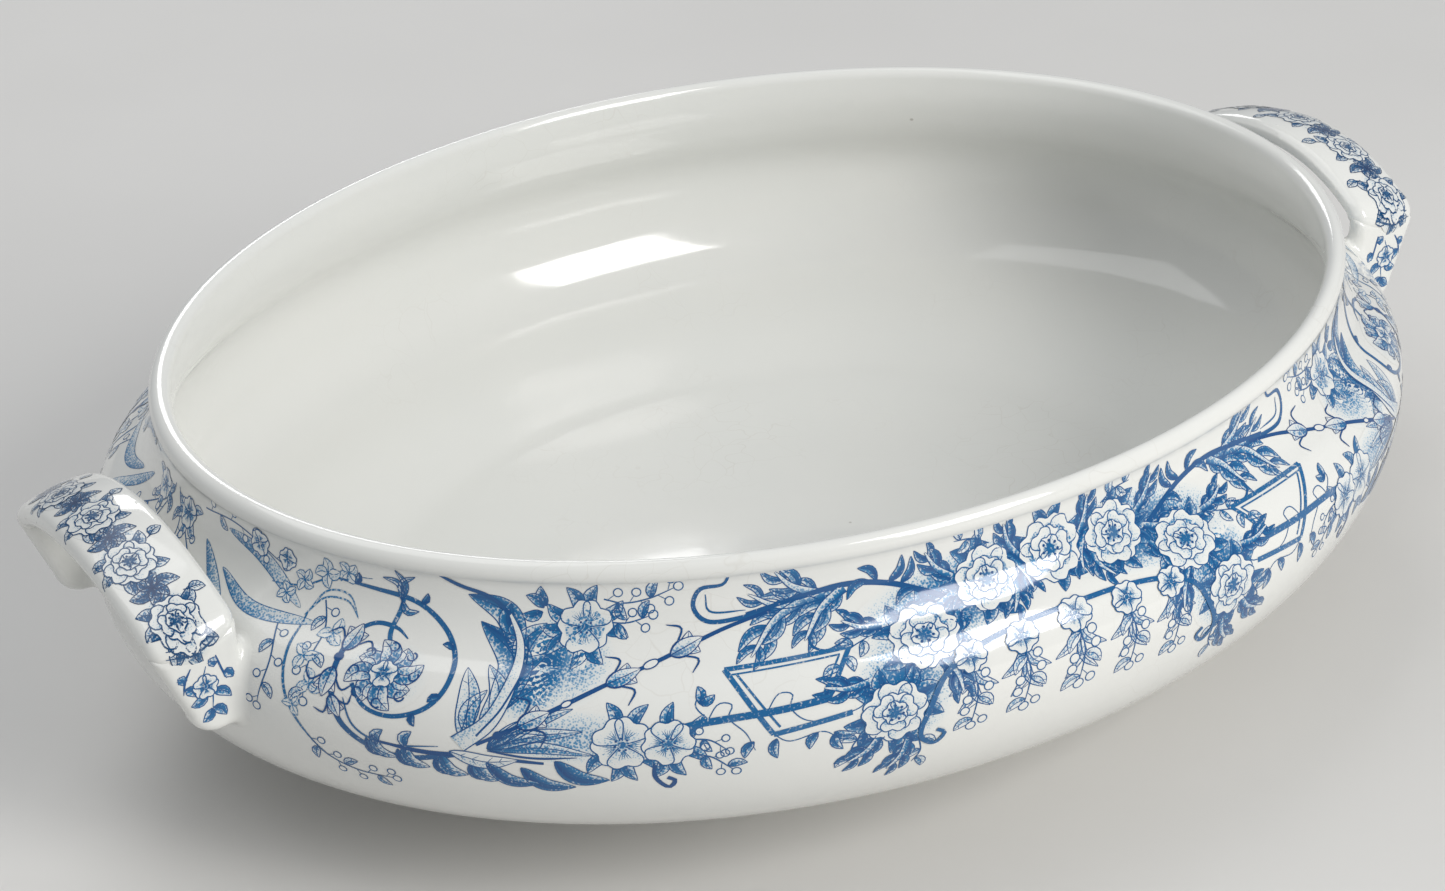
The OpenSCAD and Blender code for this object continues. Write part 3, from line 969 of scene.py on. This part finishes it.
def end_spray(p):
    """Long strap leaves and loose buds that reach under the handle."""
    for base, middle, tip, width in (
        (-181 - 1j, -170 + 1j, -157 + 8j, 3.0), (-180 + 7j, -168 + 11.5j, -152 + 10j, 2.8),
        (-188 + 4j, -182 + 9j, -172 + 17j, 2.6),
    ):
        spine = curve(base, middle, tip)
        share = np.linspace(0, 1, len(spine))
        half = width / 2 * np.sin(math.pi * share) ** 0.6 + 0.05
        side = 1j * direction(spine)
        across = np.linspace(-1, 1, 5)
        p.sheet(
            spine[:, None] + (side * half)[:, None] * across, 0.6 - 0.25 * share[:, None] + 0.12 * across,
            3,
        )
        for hand in (-1, 1):
            p.stroke(spine + hand * side * half, LINE * 0.7, 0.75, 4)
    for path, number in (
        (curve(-190 - 2j, -178 - 3j, -164 + 1j), 7), (curve(-196 + 6j, -188 + 12j, -183 + 20j), 6),
        (curve(-160 + 12j, -157 + 20j, -158 + 29j), 6), (curve(-203 - 1j, -199 + 8j, -201 + 17j), 6),
    ):
        p.sprig(path, 1.9, number, 3, (0.5, 0.3))
    p.flower(-171 - 1.5j, 2.6, 4, 15, 8)
    p.flower(-163 - 0.5j, 2.2, 4, 50, 8)
    p.flower(-197 + 2j, 3.2, 5, 20, 8)
    p.leaves_round(-197 + 2j, 3.2, (100, 150, 200, 40, -20), 3.0, 2.0, (0.6, 0.35), 2)


def strap_spray(p):
    """Full flowers in a row along the strap, dark leaves between them and single leaves inside."""
    flowers = (
        (-28.9 + 1.2j, 4.7, 0), (-14.0 + 1.9j, 5.0, 50), (1.4 + 1.6j, 5.1, 20), (17.0 + 1.9j, 4.8, 80)
    )
    leaves = ((8, 3.6), (55, 2.4), (97, 1.8), (150, 2.6), (188, 3.4), (232, 2.2), (310, 2.8))
    for place, radius, turn in flowers:
        p.wash(place, (radius * 1.45, radius * 1.05), 0.85, 0)
        for heading, length in leaves:
            p.leaves_round(place, radius, (heading + 0.2 * turn,), length, 2.5, (0.85, 0.4), 2)
        p.flower(place, radius, 7, turn, 13, double=True, shade=0.75)
    p.wash(1.4j, (30, 4.2), 0.75, 0)
    for middle in (-21.4 + 1.5j, -6.4 + 2.0j, 9.2 + 1.8j, 24.8 + 2.2j):
        for heading, length, width in (
            (-95, 5.4, 2.6), (-40, 3.4, 2.0), (25, 3.2, 2.2), (88, 4.6, 2.6), (150, 3.4, 2.2),
            (215, 3.4, 2.0),
        ):
            p.leaf(middle, middle + length * turning(heading), width, 0.15, (0.95, 0.4), 7, 3, 1.0)
    for base, tip in (
        (-24.4 - 3j, -25.4 - 7j), (-10.8 - 3.4j, -8.8 - 7.2j), (5.4 - 3.6j, 7.2 - 7j),
        (20.4 - 3j, 22.4 - 6.4j),
    ):
        p.stroke(np.linspace(base, base + 0.5 * (tip - base), 3), LINE, 0.95, 6)
        p.leaf(base + 0.25 * (tip - base), tip, 2.1, 0.12, (0.5, 0.2), 7, 3)
    for hand in (-1, 1):
        for k in range(3):
            reach = PATH_END - 2.0 + 0.9 * k
            spread = 4.2 + 0.5 * k
            bow = 0.8
            path = curve(
                hand * (reach - bow) + 1j * (1.0 - spread), hand * reach + 1j,
                hand * (reach - bow) + 1j * (1.0 + spread),
            )
            p.stroke(path, 0.3, 0.8, 8)


def pad_sprig(p):
    """A small flower with leaves and two twigs on the tongue below the strap."""
    p.origin = 0.9 + 0j
    p.stroke(curve(-3.4 + 2.2j, -3.6 + 5j, -4.0 + 8j), 0.45, 0.9, 3)
    p.stroke(curve(1.8 + 2.4j, 3.4 + 4.4j, 4.6 + 7.2j), 0.45, 0.9, 3)
    p.stroke(curve(-1.0 + 3.4j, 0.4 + 6.4j, -0.6 + 9.4j, 0.4 + 13j), 0.3, 0.8, 3)
    leaves = (
        (-3.5 + 3.6j, -1.8 + 2.4j), (3.0 + 4.2j, 4.6 + 3.2j), (-3.7 + 6.4j, -5.2 + 8.2j),
        (3.9 + 6j, 2.6 + 8.4j),
        (-0.8 + 9.2j, -3.8 + 11.8j), (0.4 + 8.8j, 4.0 + 10.2j), (0.2 + 12.4j, -1.8 + 15.2j),
        (0.4 + 12.4j, 2.8 + 14.4j),
    )
    for base, tip in leaves:
        p.leaf(base, tip, 2.0, 0.15, (0.85, 0.45), 4, 2)
    p.flower(0.2 + 7.4j, 2.5, 5, 10, 8)


def strap_point(along, across, lift):
    """Where a length along and across the strap lies on its top face, as seen from the handle."""
    run, hand = np.abs(along), np.sign(along)
    past = np.maximum(np.abs(across) - STRAP_HALF_WIDTH + STRAP_CORNER, 0)
    edge = np.sqrt(np.maximum(STRAP_CORNER**2 - past**2, 0.1)) - STRAP_CORNER
    rise = STRAP_HALF_THICKNESS + edge - across**2 / (2 * STRAP_DOME) + lip_roll(run, across) + lift
    arch_turn = np.minimum(run / STRAP_ARCH, STRAP_ARCH_TURN)
    end_turn = np.clip(STRAP_ARCH_TURN + (run - ARCH_LENGTH) / STRAP_END, STRAP_ARCH_TURN, math.pi / 2)
    on_arch = run < ARCH_LENGTH
    turn = np.where(on_arch, arch_turn, end_turn)
    radius = np.where(on_arch, STRAP_ARCH, STRAP_END) + rise
    y = np.where(on_arch, 0, END_Y) + radius * np.sin(turn)
    z = np.where(on_arch, ARCH_Z, END_Z) + radius * np.cos(turn) - np.maximum(run - PATH_END, 0)
    return np.stack([across + 0 * y, hand * y, z], -1)


def on_strap(side):
    """Puts lengths along and across the strap on its top face; side is 1 at the right, -1 at the left."""

    def place(along, across, lift):
        """Points and normals on the strap, by the slope of its top face."""
        point = strap_point(along, across, lift)
        probe = 0.05
        along_step = strap_point(along + probe, across, lift) - strap_point(along - probe, across, lift)
        across_step = strap_point(along, across + probe, lift) - strap_point(along, across - probe, lift)
        normal = np.cross(across_step, along_step)
        normal = from_handle(*normal.T) - HANDLE_ORIGIN
        normal /= np.linalg.norm(normal, axis=1, keepdims=True)
        sides = np.array([side, 1, 1])
        return from_handle(*point.T) * sides, normal * sides

    return place


def on_pad(side, end):
    """Puts lengths across and down a pad on its outer face; end is 1 at the back, -1 at the front."""

    def place(across, down, lift):
        """Points and normals on the pad, settled onto its rounded face."""
        face = PAD_MIDDLE + PAD_HALF_THICKNESS + PAD_CROWN
        points, normals = settled(from_handle(across, face + 0 * down, END_Z - down), pad_field, lift)
        sides = np.array([side, end, 1])
        return points * sides, normals * sides

    return place


def handle_prints(strap_material, pad_material):
    """The sprays on both straps and the sprigs on the four pads."""
    made = []
    for side_name, side in (("left", -1), ("right", 1)):
        p = Print()
        strap_spray(p)
        made.append(
            (p.make(side_name + "_strap_spray", on_strap(side), strap_material), "handle_porcelain")
        )
        for end_name, end in (("front", -1), ("back", 1)):
            p = Print()
            pad_sprig(p)
            name = side_name + "_" + end_name + "_sprig"
            made.append((p.make(name, on_pad(side, end), pad_material), "pad_porcelain"))
    return made


def band(name, middle, material):
    """The print on one long side: every motif drawn once and mirrored about its middle."""
    pieces = []
    for part, motifs in (
        ("garland", (garland_half,)),
        ("flowers", (upper_flower, bud_stem, lower_flowers, scrolled_leaf, ribbon_frame)),
        ("scrolls", (scroll, tall_acanthus, end_spray)),
    ):
        p = Print()
        p.origin = middle + 0j
        for flip in (1, -1):
            p.flip = flip
            for motif in motifs:
                motif(p)
        if part == "garland":
            p.flip = 1
            p.leaves_round(4.2j, 6.8, range(-150, 210, 40), 3.4, 3.0, (1.0, 0.65), 3)
            p.flower(4.2j, 7.3, 7, -90, 13, double=True)
            for x, size in ((0, 1.25), (-12, 1.15), (12, 1.15), (-23, 1.1), (23, 1.1)):
                hanging_spray(p, x + 1j * (19.5 + abs(x) * 0.08), size)
        pieces.append(p.make(name + "_" + part, print_on_bowl, material))
    return pieces


def print_on_bowl(along, down, lift):
    """The print's drawing starts a little below the lip and is fitted to the depth of the side."""
    return on_bowl(along, PRINT_TOP + (down + 4) * PRINT_SQUEEZE, lift)


# ---------------------------------------------------------------- materials
def new_material(name):
    """A material with only a shader and its output."""
    material = bpy.data.materials.new(name)
    material.use_nodes = True
    nodes = material.node_tree.nodes
    nodes.clear()
    output = nodes.new("ShaderNodeOutputMaterial")
    shader = nodes.new("ShaderNodeBsdfPrincipled")
    material.node_tree.links.new(shader.outputs[0], output.inputs["Surface"])
    return material, shader


def add(material, kind, inputs=None, **settings):
    """A node with its settings, and its inputs either linked or given as values."""
    node = material.node_tree.nodes.new("ShaderNode" + kind)
    for key, value in settings.items():
        setattr(node, key, value)
    for key, value in (inputs or {}).items():
        if isinstance(value, bpy.types.NodeSocket):
            material.node_tree.links.new(value, node.inputs[key])
        else:
            node.inputs[key].default_value = value
    return node


def ramp(material, source, stops):
    """A colour ramp over the source's 0 to 1, with (place, colour) stops."""
    node = add(material, "ValToRGB", {0: source})
    elements = node.color_ramp.elements
    elements[0].position, elements[0].color = stops[0][0], (*stops[0][1], 1)
    elements[1].position, elements[1].color = stops[-1][0], (*stops[-1][1], 1)
    for place, colour in stops[1:-1]:
        elements.new(place).color = (*colour, 1)
    return node.outputs[0]


def noise(material, place, scale, detail, roughness=0.5):
    """Soft noise from 0 to 1; larger scales are finer."""
    inputs = {"Vector": place, "Scale": scale, "Detail": detail, "Roughness": roughness}
    return add(material, "TexNoise", inputs).outputs[0]


def arithmetic(material, operation, *values, **settings):
    """The result of one sum on sockets or numbers."""
    return add(material, "Math", dict(enumerate(values)), operation=operation, **settings).outputs[0]


def remap(material, source, old, new):
    """The source with its `old` range moved to the `new` one and held at the ends."""
    return add(material, "MapRange", {0: source, 1: old[0], 2: old[1], 3: new[0], 4: new[1]}).outputs[0]


def blended(material, share, under, over):
    """`under` covered by a share of `over`."""
    return add(material, "MixRGB", {0: share, 1: under, 2: over}).outputs[0]


def grey(value):
    """A neutral colour."""
    return (value, value, value)


CRAZE_COLOUR = (0.42, 0.36, 0.28, 1)
SPECK_COLOUR = (0.20, 0.15, 0.11, 1)
BODY_GLOSS = 0.07
BODY_RIPPLE = 0.25


def glaze_colour(material, place, white, deep):
    """Milky glaze: slow drift between two whites, faint crazing and sparse kiln specks."""
    base = blended(material, noise(material, place, 16.0, 3.0, 0.55), (*white, 1), (*deep, 1))
    warp = add(material, "TexNoise", {"Vector": place, "Scale": 60.0, "Detail": 2.0}).outputs["Color"]
    bent = add(material, "MixRGB", {0: 0.02, 1: place, 2: warp}, blend_type="ADD").outputs[0]
    cells = add(material, "TexVoronoi", {"Vector": bent, "Scale": 150.0}, feature="DISTANCE_TO_EDGE")
    craze = ramp(material, cells.outputs[0], [(0.0, grey(1.0)), (0.018, grey(0.0))])
    where = ramp(material, noise(material, place, 22.0, 2.0), [(0.52, grey(0.0)), (0.68, grey(0.16))])
    crazed = blended(material, arithmetic(material, "MULTIPLY", craze, where), base, CRAZE_COLOUR)
    dots = add(material, "TexVoronoi", {"Vector": place, "Scale": 110.0})
    speck = ramp(material, dots.outputs["Distance"], [(0.035, grey(1.0)), (0.06, grey(0.0))])
    lot = add(material, "SeparateColor", {0: dots.outputs["Color"]}).outputs[0]
    chosen = ramp(material, lot, [(0.93, grey(0.0)), (0.94, grey(0.45))])
    return blended(material, arithmetic(material, "MULTIPLY", speck, chosen), crazed, SPECK_COLOUR)


def glaze_surface(material, shader, place, gloss, ripple):
    """The gloss of a fired glaze: fine roughness changes and the slow ripple of a hand-dipped coat."""
    links = material.node_tree.links
    smear = noise(material, place, 45.0, 4.0, 0.6)
    links.new(remap(material, smear, (0.3, 0.7), (gloss, gloss + 0.09)), shader.inputs["Roughness"])
    wave = noise(material, place, 38.0, 1.5)
    both = arithmetic(material, "MULTIPLY_ADD", noise(material, place, 420.0, 1.0), 0.05, wave)
    bump = add(material, "Bump", {"Height": both, "Strength": ripple, "Distance": 0.0012})
    links.new(bump.outputs[0], shader.inputs["Normal"])
    shader.inputs["IOR"].default_value = 1.5
    shader.inputs["Coat Weight"].default_value = 0.35
    shader.inputs["Coat Roughness"].default_value = 0.04


def glaze(name, white, deep, gloss=BODY_GLOSS, ripple=BODY_RIPPLE):
    """Plain glazed porcelain."""
    material, shader = new_material(name)
    place = add(material, "TexCoord").outputs["Object"]
    material.node_tree.links.new(glaze_colour(material, place, white, deep), shader.inputs["Base Color"])
    glaze_surface(material, shader, place, gloss, ripple)
    return material


def ink(name, pale, middle, dark, dots):
    """Ink under the glaze: each piece's `tone` picks its depth, and `dots` is how finely it breaks up."""
    material, shader = new_material(name)
    place = add(material, "TexCoord").outputs["Object"]
    tone = add(material, "Attribute", attribute_name="tone").outputs["Fac"]
    cells = add(material, "TexVoronoi", {"Vector": place, "Scale": dots})
    reach = arithmetic(material, "MULTIPLY_ADD", tone, 1.05, 0.05)
    inside = arithmetic(material, "SUBTRACT", reach, cells.outputs["Distance"])
    stipple = remap(material, inside, (-0.12, 0.16), (0.0, 1.0))
    gate = remap(material, tone, (0.0, 0.14), (0.0, 1.0))
    cover = arithmetic(material, "MULTIPLY", arithmetic(material, "MULTIPLY", stipple, gate), 0.7)
    soft = arithmetic(material, "MULTIPLY_ADD", tone, 0.48, cover)
    wear = remap(material, noise(material, place, 90.0, 4.0), (0.35, 0.7), (1.06, 0.86))
    amount = arithmetic(material, "MULTIPLY", soft, wear, use_clamp=True)
    colour = ramp(material, tone, [(0.0, pale), (0.5, middle), (1.0, dark)])
    printed = blended(material, amount, glaze_colour(material, place, BODY_WHITE, BODY_DEEP), colour)
    material.node_tree.links.new(printed, shader.inputs["Base Color"])
    glaze_surface(material, shader, place, BODY_GLOSS, BODY_RIPPLE)
    return material


# ---------------------------------------------------------------- camera, light and floor
def set_camera():
    """A long lens a little over half a metre away, to the left of the front and above the rim."""
    azimuth, elevation, roll = (math.radians(angle) for angle in (-32.33, 29.36, -2.21))
    distance, slide_right, slide_up = 649.7, -11.0, -32.7
    focal_widths = 2.1889
    flat = math.cos(elevation)
    back = np.array([math.sin(azimuth) * flat, -math.cos(azimuth) * flat, math.sin(elevation)])
    level = np.array([math.cos(azimuth), math.sin(azimuth), 0.0])
    upright = np.cross(back, level)
    right = math.cos(roll) * level + math.sin(roll) * upright
    up = -math.sin(roll) * level + math.cos(roll) * upright
    place = back * distance + right * slide_right + up * slide_up + [0, 0, BOWL_HEIGHT]
    data = bpy.data.cameras.new("camera")
    data.sensor_width = 36.0
    data.lens = focal_widths * data.sensor_width
    data.shift_x, data.shift_y = 0.0087, -0.0053
    data.clip_start, data.clip_end = 0.01, 20.0
    camera = bpy.data.objects.new("camera", data)
    axes = np.stack([right, up, back], -1)
    rows = np.column_stack([axes, place * MM])
    camera.matrix_world = Matrix([*rows.tolist(), [0, 0, 0, 1]])
    bpy.context.scene.collection.objects.link(camera)
    bpy.context.scene.camera = camera


def area_light(name, place, aim, size, watts, colour=(1, 1, 1)):
    """A rectangular light in metres and watts that faces a point."""
    data = bpy.data.lights.new(name, "AREA")
    data.shape, data.size, data.size_y = "RECTANGLE", size[0], size[1]
    data.energy, data.color = watts, colour
    light = bpy.data.objects.new(name, data)
    light.location = place
    light.rotation_euler = (Vector(aim) - Vector(place)).to_track_quat("-Z", "Y").to_euler()
    bpy.context.scene.collection.objects.link(light)


def set_studio():
    """A pale floor, a soft window light in front at the right, and a soft fill above and behind."""
    half = 3.0
    mesh = bpy.data.meshes.new("floor")
    corners = [(-half, -half, 0), (half, -half, 0), (half, half, 0), (-half, half, 0)]
    mesh.from_pydata(corners, [], [(0, 1, 2, 3)])
    floor = bpy.data.objects.new("floor", mesh)
    bpy.context.scene.collection.objects.link(floor)
    material, shader = new_material("floor")
    place = add(material, "TexCoord").outputs["Object"]
    tone = ramp(
        material, noise(material, place, 6.0, 4.0), [(0.3, (0.66, 0.65, 0.63)), (0.7, (0.70, 0.69, 0.67))]
    )
    material.node_tree.links.new(tone, shader.inputs["Base Color"])
    shader.inputs["Roughness"].default_value = 0.6
    mesh.materials.append(material)
    world = bpy.data.worlds.new("studio")
    bpy.context.scene.world = world
    world.use_nodes = True
    background = world.node_tree.nodes["Background"]
    background.inputs[0].default_value = (0.88, 0.91, 0.95, 1)
    background.inputs[1].default_value = 0.42
    area_light("window", (0.35, -1.1, 0.75), (0, 0, 0.04), (0.5, 0.75), 12.5, (1, 0.985, 0.96))
    area_light("top", (-0.3, 0.5, 1.4), (0, 0, 0), (1.4, 1.0), 6)
    area_light("back_window", (0.5, 1.3, 0.8), (0, 0, 0.05), (0.5, 0.35), 2.4)
    bpy.context.scene.view_settings.view_transform = "Standard"


# ---------------------------------------------------------------- the object
set_camera()
set_studio()
BODY_WHITE, BODY_DEEP = (0.79, 0.785, 0.75), (0.735, 0.745, 0.72)
body_glaze = glaze("body_glaze", BODY_WHITE, BODY_DEEP)
foot_glaze = glaze("foot_glaze", (0.76, 0.75, 0.71), (0.70, 0.69, 0.64), gloss=0.16)
handle_glaze = glaze("handle_glaze", BODY_WHITE, BODY_DEEP, ripple=0.3)

bowl = bowl_mesh(body_glaze)
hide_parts("bowl_body")
foot = foot_mesh(foot_glaze)
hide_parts("foot_ring")
for node, piece in handle_meshes(handle_glaze).items():
    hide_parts(node)

PRINT_MIDDLE = -8.0
body_ink = ink("body_ink", (0.25, 0.51, 0.69), (0.008, 0.185, 0.40), (0.0, 0.05, 0.20), 2300.0)
strap_ink = ink("strap_ink", (0.16, 0.42, 0.62), (0.0, 0.11, 0.27), (0.0, 0.03, 0.11), 2600.0)
for piece in band("front", PRINT_MIDDLE, body_ink) + band("back", PRINT_MIDDLE + GIRTH / 2, body_ink):
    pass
for piece, slot in handle_prints(strap_ink, body_ink):
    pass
